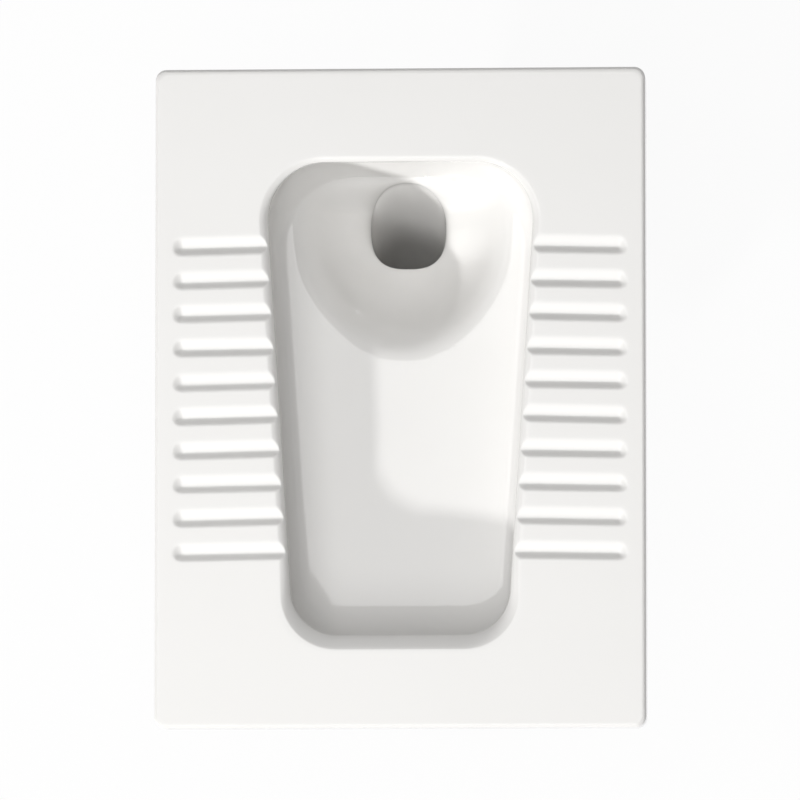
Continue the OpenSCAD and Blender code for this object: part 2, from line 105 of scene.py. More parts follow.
def bowl_half(back, front, back_half, front_half, back_r, front_r):
    """Right half of a rounded trapezoid, from the middle of its front edge to the middle of its back edge.

    The side is the line that touches both corner circles. Its stretch beside the treads has points at even Y.
    """
    slant = np.degrees(np.arctan2(back_half - front_half, back - back_r - front - front_r))
    front_arc = arc((front_half - front_r, front + front_r), front_r, -90, -slant, 64)
    back_arc = arc((back_half - back_r, back - back_r), back_r, -slant, 90, 64)
    y = np.array([max(-tread_side, front_arc[-1, 1] + 1), min(tread_side, back_arc[0, 1] - 1)])
    step = back_arc[0] - front_arc[-1]
    side = front_arc[-1] + step * ((y - front_arc[-1, 1]) / step[1])[:, None]
    return joined(
        [[(0, front), front_arc[0]], np.vstack([front_arc, side[:1]]), side,
         np.vstack([side[1:], back_arc]), [back_arc[-1], (0, back)]],
        [edge_n, corner_n, side_n, corner_n, edge_n],
    )


def plate_half(inset, front_x, back_x):
    """Right half of the foot plate's outline, with corner_n points from each end's edge round to the treads."""
    radius = max(corner_r - inset, 1)
    x, y = plate_w / 2 - inset, plate_l / 2 - inset
    low = arc((x - radius, radius - y), radius, -90, 0, 32)
    high = arc((x - radius, y - radius), radius, 0, 90, 32)
    third = corner_n // 3
    return joined(
        [[(0, -y), (front_x, -y)], [(front_x, -y), low[0]], low, [low[-1], (x, -tread_side)],
         [(x, -tread_side), (x, tread_side)],
         [(x, tread_side), high[0]], high, [high[-1], (back_x, y)], [(back_x, y), (0, y)]],
        [edge_n, third, third, third, side_n, third, third, third, edge_n],
    )


def whole(half, evenness=0.0):
    """Moves a half outline's points towards even spacing, and mirrors it across X = 0 into a closed ring."""
    length = np.concatenate([[0], np.cumsum(np.linalg.norm(np.diff(half, axis=0), axis=1))])
    share = (1 - evenness) * length / length[-1] + evenness * np.linspace(0, 1, len(half))
    half = along(half, share)
    return np.vstack([half, half[-2:0:-1] * [-1, 1]])


def smooth(t):
    """The cubic 3t2 - 2t3 between 0 and 1, flat at both ends."""
    t = np.clip(t, 0, 1)
    return t * t * (3 - 2 * t)


def smooth_max(a, b, blend):
    """The larger of a and b, with their corner rounded over the width blend."""
    h = np.clip(0.5 + (a - b) / (2 * blend), 0, 1)
    return b + (a - b) * h + blend * h * (1 - h)


def drain_drop(y):
    """Depth of the drain's edge, whose back rises: depth - rise smooth((v - 0.3) / 0.7), v from -1 to 1."""
    return drain_depth - drain_back_rise * smooth((y - drain_y) / (0.7 * drain_l / 2) - 0.3 / 0.7)


def hole_size(x, y):
    """1 on the drain hole's outline, a superellipse, and more outside it: (|x / a|^p + |y / b|^p)^(1 / p)."""
    power = np.where(y < 0, drain_front_power, drain_back_power)
    return (np.abs(x / drain_w * 2) ** power + np.abs(y / drain_l * 2) ** power) ** (1 / power)


def floor_drop(x, y):
    """Depth of the bowl's floor: a dished shelf that falls towards the drain, then a funnel round the hole.

    With hole and reach as the sizes that are 1 on the hole and on the funnel's outer ellipse, the share of the
    way out is t = reach (hole - 1) / (hole - reach). The funnel is 1 - t^curve, blended into the shelf. Near
    the hole a quarter ellipse, 1 - sqrt(1 - (1 - t / share)^2), rolls it down to vertical.
    """
    fall = np.clip((y - bowl_front) / (drain_y - funnel_l - bowl_front), 0, 1)
    way_back = (y - bowl_front) / (bowl_back - bowl_front)
    foot_half = bowl_front_half + (bowl_back_half - bowl_front_half) * way_back
    dish = floor_dish * np.clip(x / (foot_half - side_fillet), -1, 1) ** 2
    hole = np.maximum(hole_size(x, y - drain_y), 1)
    reach = np.hypot(x / funnel_w, (y - drain_y) / funnel_l)
    t = np.clip(reach * (hole - 1) / np.maximum(hole - reach, 1e-6), 0, 1 + funnel_blend)
    funnel = np.minimum(smooth_max(1 - t ** funnel_curve, 0, funnel_blend), 1)
    roll = 1 - np.sqrt(1 - np.clip(1 - t / roll_share, 0, 1) ** 2)
    roll_high = roll_drop * (roll_front + (1 - roll_front) * smooth((y - drain_y) / drain_l * 2 + 1))
    shelf = floor_depth + floor_fall * fall - dish
    return shelf + (drain_drop(y) - roll_high - shelf) * funnel + roll_high * roll


def at_ends(y, side, back, front):
    """A value that is side along the bowl's sides, and turns smoothly to back and front at its two ends."""
    return (side + (back - side) * smooth((y - back_turn_y) / back_turn_l)
            + (front - side) * smooth((-front_turn_y - y) / front_turn_l))


def inset_bowl(back, side, front):
    """Numbers of the bowl's outline, moved in by these distances."""
    return np.array([bowl_back - back, bowl_front + front, bowl_back_half - side, bowl_front_half - side,
                     max(bowl_back_r - side, 4), max(bowl_front_r - side, 4)])


def wall_numbers(u):
    """The bowl's outline at the share u of its wall's height: out under the rim, then in towards the floor.

    Sides and front curve in by fillet (1 - sqrt(1 - (2u - 1)^2)), and the back leans in by slope times
    ((u - 0.58) / 0.42)^1.35.
    """
    low = np.clip(2 * u - 1, 0, 1)
    fillet = 1 - np.sqrt(1 - low ** 2)
    under = smooth((u - 0.06) / 0.2)
    numbers = inset_bowl(-back_undercut * under + back_slope * np.clip((u - 0.58) / 0.42, 0, 1) ** 1.35,
                         -side_undercut * under + side_fillet * fillet,
                         -lip_undercut * under + front_fillet * fillet)
    numbers[4] += corner_growth * smooth(u)
    return numbers


def ring_at(outline, z):
    """A ring of 3-D points over a closed outline, at height z."""
    return np.column_stack([outline, np.broadcast_to(z, len(outline))])


# The foot plate's outer edge, from below the skirt up to the flat top. The core has room to spare outside it.
front_x, back_x = bowl_front_half - bowl_front_r, bowl_back_half - bowl_back_r
skirt_z = top_z - skirt_h


def plate_ring(inset, z):
    """The foot plate's outline moved in by an inset, at height z."""
    return ring_at(whole(plate_half(inset, front_x, back_x)), z)


core_room = 40
core_rings = [plate_ring(-core_room, top_z + core_room), plate_ring(-core_room, skirt_z - core_room),
              plate_ring(skirt_round, skirt_z - core_room)]
for turn in np.radians([0, 30, 60, 90]):
    low = skirt_z + skirt_round * (0.9 - np.cos(turn))
    core_rings.append(plate_ring(skirt_round * (1 - np.sin(turn)), low))
for turn in np.radians(np.linspace(0, 90, 9)):
    core_rings.append(plate_ring(edge_r * (1 - np.cos(turn)), top_z - edge_r * (1 - np.sin(turn))))

# Treads: grooves with a steep flank towards the front and a gentle one towards the drain
tread_n, tread_pitch, tread_set_forward = 10, 31, 2.5
tread_depth, tread_steep, tread_gentle, tread_end = 3.5, 7.5, 12.5, 10
tread_out = plate_w / 2 - 15 - tread_end
tread_middle, tread_slant = 165, np.tan(np.radians(1.3))
tread_blend = 0.5
hand = np.random.default_rng(7)
tread_shift = hand.normal(0, 0.35, (2, tread_n))
tread_tilt = hand.normal(0, 0.004, (2, tread_n))
tread_deep = hand.normal(1, 0.05, (2, tread_n))


def tread_drop(x, y):
    """Depth of the treads: each one's section falls from 1 at its bottom line to 0 at its flanks' widths.

    The section is the smooth cubic of the distance from the bottom line, and the outer end is half an ellipse.
    """
    side = (x > 0).astype(int)
    row = np.clip(np.round(y / tread_pitch + (tread_n - 1) / 2), 0, tread_n - 1).astype(int)
    middle = (row - (tread_n - 1) / 2) * tread_pitch - tread_set_forward
    out = np.abs(x) - tread_middle
    bottom = middle + tread_shift[side, row] - (tread_slant + tread_tilt[side, row]) * out
    across = y - bottom
    across = across / np.where(across < 0, tread_steep, tread_gentle)
    past = np.clip((np.abs(x) - tread_out) / tread_end, 0, None)
    return tread_depth * tread_deep[side, row] * (1 - smooth(np.hypot(across, past)))


def sunk(ring):
    """Lowers a ring of the plate or the rim to the treads, which run out where the rim is lower."""
    x, y, z = ring.T
    drop = smooth_max(top_z - z, tread_drop(x, y) - tread_blend / 2, tread_blend)
    return np.column_stack([x, y, np.where(np.abs(y) < tread_side, top_z - drop, z)])


def rim_ring(turn):
    """A ring of the rounded rim, from the flat plate (turn 0) to the wall (turn 90).

    Its section is a quarter superellipse: out w (1 - sin(turn)^p) from the wall and down h (1 - cos(turn)^p).
    """
    wall = whole(bowl_half(*inset_bowl(0, 0, 0)))
    outer = whole(bowl_half(*inset_bowl(-back_rim_w, -rim_w, -lip_w)))
    power = 2 / at_ends(wall[:, 1], 2, 2, lip_power)
    out = 1 - np.sin(np.radians(turn)) ** power
    drop = at_ends(wall[:, 1], rim_h, back_rim_h, lip_h) * (1 - np.cos(np.radians(turn)) ** power)
    return sunk(ring_at(wall + (outer - wall) * out[:, None], top_z - drop))


flat_edge, rim_edge = whole(plate_half(edge_r, front_x, back_x)), rim_ring(0)[:, :2]
for share in [*np.linspace(0, 0.32, 17)[1:], *np.linspace(0.32, 1, 16)[1:-1]]:
    core_rings.append(sunk(ring_at(flat_edge + (rim_edge - flat_edge) * share, top_z)))
core_rings += [rim_ring(turn) for turn in np.linspace(0, 90, 18)]

# The bowl's walls, with half as many points round, and its floor
half_count = slice(None, None, 2)
evening = 0.35
for u in [*np.linspace(0.01, 0.3, 10), *np.linspace(0.36, 0.66, 6), *np.linspace(0.69, 1, 16)]:
    outline = whole(bowl_half(*wall_numbers(u)), evening * u)[half_count]
    rim = at_ends(outline[:, 1], rim_h, back_rim_h, lip_h)
    core_rings.append(ring_at(outline, top_z - (rim + (floor_drop(*outline.T) - rim) * u)))
foot_numbers = wall_numbers(1)
water_r = 32


def water_half(share, grow=0):
    """Right half of the waterway's section, at even angles about its middle.

    Its radius is (1 - share) / hole_size + share water_r + grow: the hole's outline blended to a circle.
    """
    angle = np.radians(np.linspace(-90, 90, 2 * (edge_n + corner_n) + side_n + 1))
    way = np.stack([np.cos(angle), np.sin(angle)], axis=-1)
    return way * ((1 - share) / hole_size(*way.T) + share * water_r + grow)[:, None]


drain_outline = whole(water_half(0)) + [0, drain_y]
for t in 1 - np.linspace(1, 0, 46)[1:] ** 1.5:
    outline = whole(bowl_half(*foot_numbers), evening + (1 - evening) * smooth(t / 0.5))
    outline = (outline + (drain_outline - outline) * t)[half_count]
    core_rings.append(ring_at(outline, top_z - floor_drop(*outline.T)))

# The waterway's centre line in the plane X = 0, as (y, z): the throat ends on the dip's circle, then the line
# goes round the dip, up, over the crest, and down to the spigot
throat_points = np.array([(drain_y, top_z - drain_depth), (149.3, 140.3), (137.4, 101.4), (128.8, 77.9)])
throat_l = 60
dip, dip_r = np.array([81.81, 95]), 50
crest, crest_r = np.array([-62.48, 114.5]), 48
outlet_y = crest[0] - crest_r
spigot_z, spigot_l = 42, 54


def water_line():
    """Points (y, z) and headings of the waterway, 3 to 6 mm apart, from the drain hole to above the spigot.

    The throat is the curve (1 - t)^3 a + 3 t (1 - t)^2 b + 3 t^2 (1 - t) c + t^3 d. The rest is arcs and lines.
    """
    t = np.linspace(0, 1, 40)[:, None]
    shares = [(1 - t) ** 3, 3 * t * (1 - t) ** 2, 3 * t ** 2 * (1 - t), t ** 3]
    throat = sum(share * point for share, point in zip(shares, throat_points))
    dip_arc = arc(dip, dip_r, -20, -140, 40)
    crest_arc = arc(crest, crest_r, 40, 180, 40)
    line = joined([throat, dip_arc, [dip_arc[-1], crest_arc[0]], crest_arc,
                   [crest_arc[-1], (outlet_y, spigot_z + spigot_l)]],
                  [28, 18, 18, 20, 4])
    step = np.gradient(line, axis=0)
    return line, np.arctan2(step[:, 1], step[:, 0])


def pipe_ring(place, heading, radius, count):
    """A circle square to the waterway's heading in the plane X = 0."""
    turn = np.linspace(0, 2 * np.pi, count, endpoint=False) - np.pi / 2
    side, up = radius * np.cos(turn), radius * np.sin(turn)
    return np.column_stack([side, place[0] - up * np.sin(heading), place[1] + up * np.cos(heading)])


centre_line, headings = water_line()
run = np.concatenate([[0], np.cumsum(np.linalg.norm(np.diff(centre_line, axis=0), axis=1))])
throat_n = int(np.searchsorted(run, throat_l))


def water_ring(k, grow=0):
    """The waterway's section at point k of its line, grown by a wall.

    It is level at the drain hole, where it follows the tilt of the edge, then round and square to the line.
    """
    share = smooth(run[k] / throat_l)
    outline = whole(water_half(share, grow))
    across = (1 - share) * np.array([1, 0]) + share * np.array([-np.sin(headings[k]), np.cos(headings[k])])
    y, z = (centre_line[k] + outline[:, 1:] * across).T
    z = z + (1 - share) * (drain_depth - drain_drop(drain_y + outline[:, 1]))
    return np.column_stack([outline[:, 0], y, z])


# Half the points round as far as seen from above, then a sixth, down to the spigot's wider bore
sixth, seen_l = slice(None, None, 6), 45
pipe_n = (4 * (edge_n + corner_n) + 2 * side_n) // 6
core_rings += [water_ring(k)[half_count if run[k] < seen_l else sixth] for k in range(1, len(run))]
spigot_bore, spigot_top = 40, spigot_z + spigot_l
for z, radius in [(spigot_top - 4, water_r + 1), (spigot_top - 9, spigot_bore - 1),
                  (spigot_top - 12, spigot_bore), (spigot_z - core_room, spigot_bore)]:
    core_rings.append(pipe_ring((outlet_y, z), -np.pi / 2, radius, pipe_n))


def skin(rings):
    """Closes rings into a solid with squares, with fans where the next ring has fewer points, and two caps.

    Returns the points and the faces. The rings turn anticlockwise seen from where the first one lies.
    """
    start = np.cumsum([0] + [len(r) for r in rings])
    faces = [list(range(len(rings[0])))]
    for a, b, ring, after in zip(start, start[1:], rings, rings[1:]):
        few = np.arange(len(after))
        step = len(ring) // len(after)
        here, there, onward = a + few * step, b + few, b + (few + 1) % len(after)
        if step == 1:
            faces += np.stack([here, there, onward, a + (few + 1) % len(ring)], axis=-1).tolist()
            continue
        for k in range(step):
            faces += np.stack([here + k, there, a + (few * step + k + 1) % len(ring)], axis=-1).tolist()
        faces += np.stack([there, onward, a + (few + 1) * step % len(ring)], axis=-1).tolist()
    faces.append(list(range(start[-1] - 1, start[-2] - 1, -1)))
    return np.vstack(rings), faces


def make_object(name, points, faces):
    """A mesh object at the origin, smooth all over, from points in millimetres."""
    mesh = bpy.data.meshes.new(name)
    mesh.from_pydata(points * mm, [], faces)
    mesh.polygons.foreach_set("use_smooth", np.ones(len(mesh.polygons), bool))
    mesh.update()
    thing = bpy.data.objects.new(name, mesh)
    bpy.context.scene.collection.objects.link(thing)
    return thing


core = make_object("core", *skin(core_rings))

# ---- The casting round that face ----
# The mould gives the casting its outside: a slab with a skirt, the bowl's shell, the trap and its sole, the
# flush chamber with its boss, four webs under the plate and one over the trap. The remesh rounds their corners,
# as the slip does, and the glazed face, the chamber, the ports and the boss's bore are then cut out.

wall_t, water_wall, web_half = 12, 10, 5
skirt_t, plate_t = 12, 14
spigot_r = 51.2
shell_evening = 0.6
every_fourth = slice(None, None, 4)
grown = np.array([1, -1, 1, 1, 1, 1])


def block_ring(centre, half, radius, z):
    """A rounded rectangle at height z, anticlockwise from above."""
    reach = np.array(half) - radius
    corners = [arc(centre + reach * sign, radius, start, start + 90, 6)
               for sign, start in [((1, -1), -90), ((1, 1), 0), ((-1, 1), 90), ((-1, -1), 180)]]
    return ring_at(np.vstack(corners), z)


def bowl_shell():
    """Outside of the bowl: the wall's outlines grown by its thickness, then the underside of the floor."""
    def outside(u):
        return whole(bowl_half(*(wall_numbers(u) + wall_t * grown)), shell_evening)

    rings = [ring_at(outside(0.3)[every_fourth], top_z + edge_r)]
    for u in np.linspace(0.3, 1, 14):
        outline = outside(u)[every_fourth]
        drop = rim_h + (floor_drop(*outline.T) - rim_h) * u + wall_t * smooth(u)
        rings.append(ring_at(outline, top_z - drop))
    foot = outside(1)
    hole = whole(water_half(0, wall_t)) + [0, drain_y]
    for t in np.linspace(0.1, 1, 12):
        outline = (foot + (hole - foot) * t)[every_fourth]
        rings.append(ring_at(outline, top_z - wall_t - floor_drop(*outline.T)))
    return rings


def trap_shell():
    """Outside of the waterway: the throat and the bent pipe grown by their wall, and the wider spigot."""
    rings = [water_ring(k, wall_t if k < throat_n else water_wall)[sixth] for k in range(len(run) - 2)]
    spigot = [(spigot_top + 12, water_r + water_wall), (spigot_top, spigot_r), (spigot_z, spigot_r)]
    return rings + [pipe_ring((outlet_y, z), -np.pi / 2, radius, pipe_n) for z, radius in spigot]


def slab():
    """The foot plate and its skirt, with room outside for the glazed face to trim."""
    spare = 10
    levels = [(-spare, top_z + spare), (-spare, skirt_z), (skirt_t, skirt_z), (skirt_t + 1.5, top_z - plate_t)]
    return [plate_ring(inset, z)[every_fourth] for inset, z in levels]


def web(side, y):
    """A stiffening wall under the plate, from the bowl to the skirt."""
    start, stop = 112, plate_w / 2 - 8
    half = ((stop - start) / 2, web_half)
    return [block_ring((side * (start + stop) / 2, y), half, 2, z) for z in (top_z - 10, top_z - 34)]


inlet_z = 236
boss_r, boss_root_r, boss_root, boss_end = 27.3, 34, -251, -273
chamber_half, chamber_low = 52, 208
chamber = [block_ring((0, -234), (chamber_half, 17), 10, z) for z in (top_z - 10, chamber_low)]
chamber_foot = [block_ring((0, -230), (chamber_half, 21), 10, z) for z in (inlet_z, chamber_low)]
crest_web = [block_ring((0, crest[0]), (web_half, 26), 2, z) for z in (top_z - floor_depth - 8, crest[1] + 84)]
boss = [pipe_ring((y, inlet_z), np.pi, radius, 48) for y, radius in
        [(-232, boss_root_r), (boss_root, boss_root_r), (boss_root - 6, boss_r), (boss_end, boss_r)]]
sole = [block_ring((0, dip[0]), half, 14, z) for half, z in [((44, 34), 24), ((58, 46), 13), ((58, 46), 0)]]


def joined_skins(*solids):
    """Several closed solids as one mesh's points and faces."""
    points, faces, start = [], [], 0
    for some_points, some_faces in map(skin, solids):
        points.append(some_points)
        faces += [[start + corner for corner in face] for face in some_faces]
        start += len(some_points)
    return np.vstack(points), faces


def settle(thing):
    """Keeps what a piece's modifiers make as its own mesh."""
    bpy.context.view_layer.update()
    made = bpy.data.meshes.new_from_object(thing.evaluated_get(bpy.context.evaluated_depsgraph_get()))
    thing.modifiers.clear()
    thing.data = made


webs = [web(side, y) for side in (-1, 1) for y in (-100, 100)]
pan = make_object("pan_casting", *joined_skins(slab(), bowl_shell(), trap_shell(), chamber, chamber_foot,
                                              crest_web, boss, sole, *webs))
cast = pan.modifiers.new("cast", "REMESH")
cast.mode, cast.voxel_size = "VOXEL", 3.5 * mm
rounding = pan.modifiers.new("rounding", "SMOOTH")
rounding.factor, rounding.iterations = 0.5, 8
thinning = pan.modifiers.new("thinning", "DECIMATE")
thinning.ratio = 0.2
settle(pan)

# Smoothing leaves the sole's points a little off the floor, so none may lie below it
spots = np.empty(3 * len(pan.data.vertices), np.float32)
pan.data.vertices.foreach_get("co", spots)
spots[2::3] = np.maximum(spots[2::3], 0)
pan.data.vertices.foreach_set("co", spots)


def lying(rings):
    """Lays upright rings down, so that what went down in Z goes along +Y, at the heights that were their Y."""
    return [np.column_stack([ring[:, 0], -ring[:, 2], ring[:, 1]]) for ring in rings]


room_back, room_front, bowl_room = -229, -243, -214
chamber_room = [block_ring((0, (room_back + room_front) / 2), (44, (room_back - room_front) / 2), 5, z)
                for z in (skirt_z, inlet_z - 20)]
port_x, port_z, port_half = 16.5, top_z - 44, (12.5, 9)
ports = [lying([block_ring((side * port_x, port_z), port_half, 6, -y) for y in (room_front + 1, bowl_room)])
         for side in (-1, 1)]
boss_bore = [pipe_ring((y, inlet_z), np.pi, 18, 48) for y in (room_front + 4, boss_end - 20)]
cutters = [core] + [make_object("cutter", *skin(rings)) for rings in (chamber_room, *ports, boss_bore)]
for cutter in cutters:
    cut = pan.modifiers.new("cut", "BOOLEAN")
    cut.operation, cut.solver, cut.object = "DIFFERENCE", "MANIFOLD", cutter
settle(pan)
for cutter in cutters:
    bpy.data.objects.remove(cutter)
pan.data.polygons.foreach_set("use_smooth", np.ones(len(pan.data.polygons), bool))
pan.data.set_sharp_from_angle(angle=np.radians(40))


def worn(name, colours, roughness, scale, grain, grain_high, metallic=0.0):
    """A material that drifts between two colours and two roughnesses with a noise.

    A second noise bumps it by grain_high, in metres. The scale and the grain are in waves per metre.
    """
    material = bpy.data.materials.new(name)
    material.use_nodes = True
    nodes, links = material.node_tree.nodes, material.node_tree.links
    shader, place = nodes["Principled BSDF"], nodes.new("ShaderNodeTexCoord")
    drift, fine = nodes.new("ShaderNodeTexNoise"), nodes.new("ShaderNodeTexNoise")
    drift.inputs["Scale"].default_value, drift.inputs["Detail"].default_value = scale, 4
    fine.inputs["Scale"].default_value, fine.inputs["Detail"].default_value = grain, 2
    tint, gloss, bump = nodes.new("ShaderNodeMix"), nodes.new("ShaderNodeMapRange"), nodes.new("ShaderNodeBump")
    tint.data_type = "RGBA"
    tint.inputs["A"].default_value, tint.inputs["B"].default_value = [(*c, 1) for c in colours]
    gloss.inputs["From Min"].default_value, gloss.inputs["From Max"].default_value = 0.3, 0.7
    gloss.inputs["To Min"].default_value, gloss.inputs["To Max"].default_value = roughness
    bump.inputs["Strength"].default_value, bump.inputs["Distance"].default_value = 0.5, grain_high
    shader.inputs["Metallic"].default_value = metallic
    for noise in (drift, fine):
        links.new(place.outputs["Object"], noise.inputs["Vector"])
    links.new(drift.outputs["Fac"], tint.inputs["Factor"])
    links.new(drift.outputs["Fac"], gloss.inputs["Value"])
    links.new(fine.outputs["Fac"], bump.inputs["Height"])
    links.new(tint.outputs["Result"], shader.inputs["Base Color"])
    links.new(gloss.outputs["Result"], shader.inputs["Roughness"])
    links.new(bump.outputs["Normal"], shader.inputs["Normal"])
    return material


# The glaze ripples a little. The faces that stood in the kiln or were wiped stay bare: sole, spigot and skirt.
glaze = worn("china_glaze", [(0.745, 0.735, 0.72), (0.73, 0.721, 0.703)], (0.05, 0.075), 11, 30, 0.25 * mm)
bare_china = worn("bare_china_body", [(0.63, 0.6, 0.55), (0.56, 0.53, 0.48)], (0.75, 0.9), 40, 900, 0.05 * mm)
pan.data.materials.clear()
for material in (glaze, bare_china):
    pan.data.materials.append(material)
bare_levels = np.array([0, spigot_z, skirt_z])
bare = [int(face.normal.z < -0.9 and np.abs(face.center.z / mm - bare_levels).min() < 0.5)
        for face in pan.data.polygons]
pan.data.polygons.foreach_set("material_index", np.array(bare, np.int32))
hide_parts("pan")
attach(pan, "root")

# ---- The rubber flush cone ----
# A moulded rubber sleeve between the china boss and the flush pipe. Beads keep the two clips in their seats,
# and the two halves of the mould leave a thin flash line along each side.

cone_lap = 18
cone_root = boss_end + cone_lap


def rounded(corners, radius, steps=4):
    """A closed profile with each corner c rounded by the curve (1 - s)^2 a + 2 s (1 - s) c + s^2 b."""
    corners = np.array(corners, float)
    s = np.linspace(0, 1, steps + 1)[:, None]
    points = []
    for before, corner, after in zip(np.roll(corners, 1, axis=0), corners, np.roll(corners, -1, axis=0)):
        into, out = before - corner, after - corner
        touch = min(radius, 0.48 * np.linalg.norm(into), 0.48 * np.linalg.norm(out))
        a = corner + touch * into / np.linalg.norm(into)
        b = corner + touch * out / np.linalg.norm(out)
        points.append((1 - s) ** 2 * a + 2 * s * (1 - s) * corner + s ** 2 * b)
    return np.vstack(points)


def wrapped(grid):
    """Points and faces of a grid (rows, columns, 3) that closes on itself both ways."""
    corner = np.arange(grid.shape[0] * grid.shape[1]).reshape(grid.shape[:2])
    below = np.roll(corner, -1, axis=0)
    faces = np.stack([corner, np.roll(corner, -1, axis=1), np.roll(below, -1, axis=1), below], axis=-1)
    return grid.reshape(-1, 3), faces.reshape(-1, 4).tolist()


def lathe(profile, turns, swell=0):
    """A closed profile (radius, height) turned about +Z: (radius + swell) (cos, sin), height, at each angle."""
    radius = profile[None, :, 0] + np.broadcast_to(swell, (len(turns), len(profile)))
    return np.stack([radius * np.cos(turns)[:, None], radius * np.sin(turns)[:, None],
                     np.broadcast_to(profile[:, 1], radius.shape)], axis=-1)


def on_inlet(points, y):
    """Lays what was drawn about +Z along -Y on the inlet's axis, with its Z = 0 at y."""
    return np.stack([points[..., 0], y - points[..., 2], inlet_z + points[..., 1]], axis=-1)


def turns_with(count, places, width):
    """Even angles of a full turn, with four more close beside each of the places where a thin ridge stands."""
    even = np.linspace(0, 2 * np.pi, count, endpoint=False)
    more = [place + width * k for place in places for k in (-1.5, -0.75, 0.75, 1.5)]
    return np.unique(np.mod(np.concatenate([even, more]), 2 * np.pi))


# The profile's corners (radius, height), first up the outside and then down the inside
cone_out = [(31.6, 0), (32, 2.7), (31.25, 3.1), (31.25, 14.8), (32, 15.3), (31.9, 17.8), (24.2, 23.6),
            (23.8, 26.9), (23.05, 27.3), (23.05, 38.7), (23.8, 39.2), (23.6, 42)]
cone_in = [(19.4, 42), (19, 41), (19, 24.2), (17, 23.8), (17, 18.4), (27.2, 18.2), (27.2, 1), (27.7, 0)]
cone_profile = rounded(cone_out + cone_in, 0.8)
cone_flash = np.repeat([1] * len(cone_out) + [0] * len(cone_in), 5)
flash_wide, flash_high = np.radians(0.7), 0.3
cone_turns = turns_with(96, (0, np.pi), flash_wide)
flash = flash_high * np.exp(-(np.sin(cone_turns) / flash_wide) ** 2)[:, None] * cone_flash
cone = make_object("rubber_flush_cone", *wrapped(on_inlet(lathe(cone_profile, cone_turns, flash), cone_root)))


def fitted(thing, node, body, material):
    """Gives a piece its material, and lets it stand for a CAD node and ride on a body."""
    thing.data.materials.append(material)
    thing.data.set_sharp_from_angle(angle=np.radians(35))
    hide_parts(node)
    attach(thing, body)


rubber = worn("black_rubber", [(0.016, 0.016, 0.017), (0.05, 0.049, 0.047)], (0.45, 0.7), 60, 900, 0.06 * mm)
fitted(cone, "flush_cone", "root", rubber)

# ---- The hose clips' bands ----
# Each band is one steel strip with slanted slots for the screw's thread. It runs once round the cuff, climbs by
# its own thickness and passes under the housing, and its rounded free end sticks out beyond.

# Each clip's name, its band's inner radius, and its place along Y
clip_spots = [("boss", 31.4, -264), ("pipe", 23.2, -288)]
band_half, band_t = 5, 0.75
slot_pitch, slot_half, slot_side, slot_slant, first_slot = 2.6, 3.3, 0.27, 0.2, 0.38
band_start, band_stop, climb = np.radians(-34), np.radians(378), np.radians([296, 320])


def band_cells(length):
    """Squares of the flat strip in (along, across): plain cells, then cells round slanted slots."""
    count = int(length / slot_pitch)
    grid = np.array([0.5, band_half / 3])
    around = [(0, -3), (1, -3), (2, -3), (2, -1), (2, 1), (2, 3), (1, 3), (0, 3), (0, 1), (0, -1)]
    hole = np.array([(-1, -0.86), (0, -1), (1, -0.86), (1, -0.3), (1, 0.3),
                     (1, 0.86), (0, 1), (-1, 0.86), (-1, 0.3), (-1, -0.3)])
    cells = []
    for i in range(count):
        if first_slot * count < i < count - 2:
            edge = np.array(around, float) * grid + [i, 0]
            slot = hole * [slot_side, slot_half] + [i + 0.5, 0]
            slot[:, 0] += slot_slant * slot[:, 1] / slot_half
            cells += [[edge[k], edge[(k + 1) % 10], slot[(k + 1) % 10], slot[k]] for k in range(10)]
        else:
            for left, low in [(left, low) for left in (0, 1) for low in (-3, -1, 1)]:
                square = np.array([(left, low), (left + 1, low), (left + 1, low + 2), (left, low + 2)], float)
                cells.append(square * grid + [i, 0])
    return np.array(cells) * [length / count, 1]


def sheet(cells):
    """A flat sheet of squares as a closed slab: its 2-D corners, and faces over two layers of them."""
    corners, index = np.unique(np.round(cells.reshape(-1, 2), 4), axis=0, return_inverse=True)
    index = index.reshape(-1, 4)
    edges = {(a, b) for face in index.tolist() for a, b in zip(face, face[1:] + face[:1])}
    n = len(corners)
    walls = [[a, b, b + n, a + n] for a, b in edges if (b, a) not in edges]
    return corners, (index + n).tolist() + index[:, ::-1].tolist() + walls


clip_steel = worn("stainless_band", [(0.52, 0.51, 0.5), (0.66, 0.65, 0.64)], (0.2, 0.36), 90, 2400,
                  0.01 * mm, metallic=1.0)
for clip, inner_r, clip_y in clip_spots:
    strip_l = (inner_r + band_t) * (band_stop - band_start)
    corners, strip_faces = sheet(band_cells(strip_l))
    turn = band_start + corners[:, 0] / strip_l * (band_stop - band_start)
    near_end = np.clip((corners[:, 0] - strip_l) / band_half + 1, 0, 1)
    across = corners[:, 1] * (1 - 0.6 * near_end ** 3)
    layer = inner_r + (band_t + 0.1) * smooth((turn - climb[0]) / (climb[1] - climb[0]))
    strip = [np.column_stack([radius * np.cos(turn), radius * np.sin(turn), across])
             for radius in (layer, layer + band_t)]
    band = make_object(clip + "_clip_strip", on_inlet(np.vstack(strip), clip_y), strip_faces)
    fitted(band, clip + "_clip_band", "root", clip_steel)

# ---- The hose clips' housings ----
# Each housing is pressed from thin sheet: an arch over the screw, with feet beside it and skirts that hold the
# band's edges. Two pressed grooves stiffen the arch.

housing_half, axis_high = 7, 5.6
arch_r, foot_high, skirt_half, sheet_t = 3.8, 2.9, 6, 0.9
groove_y, groove_deep, groove_wide = 3.4, 0.35, 0.9


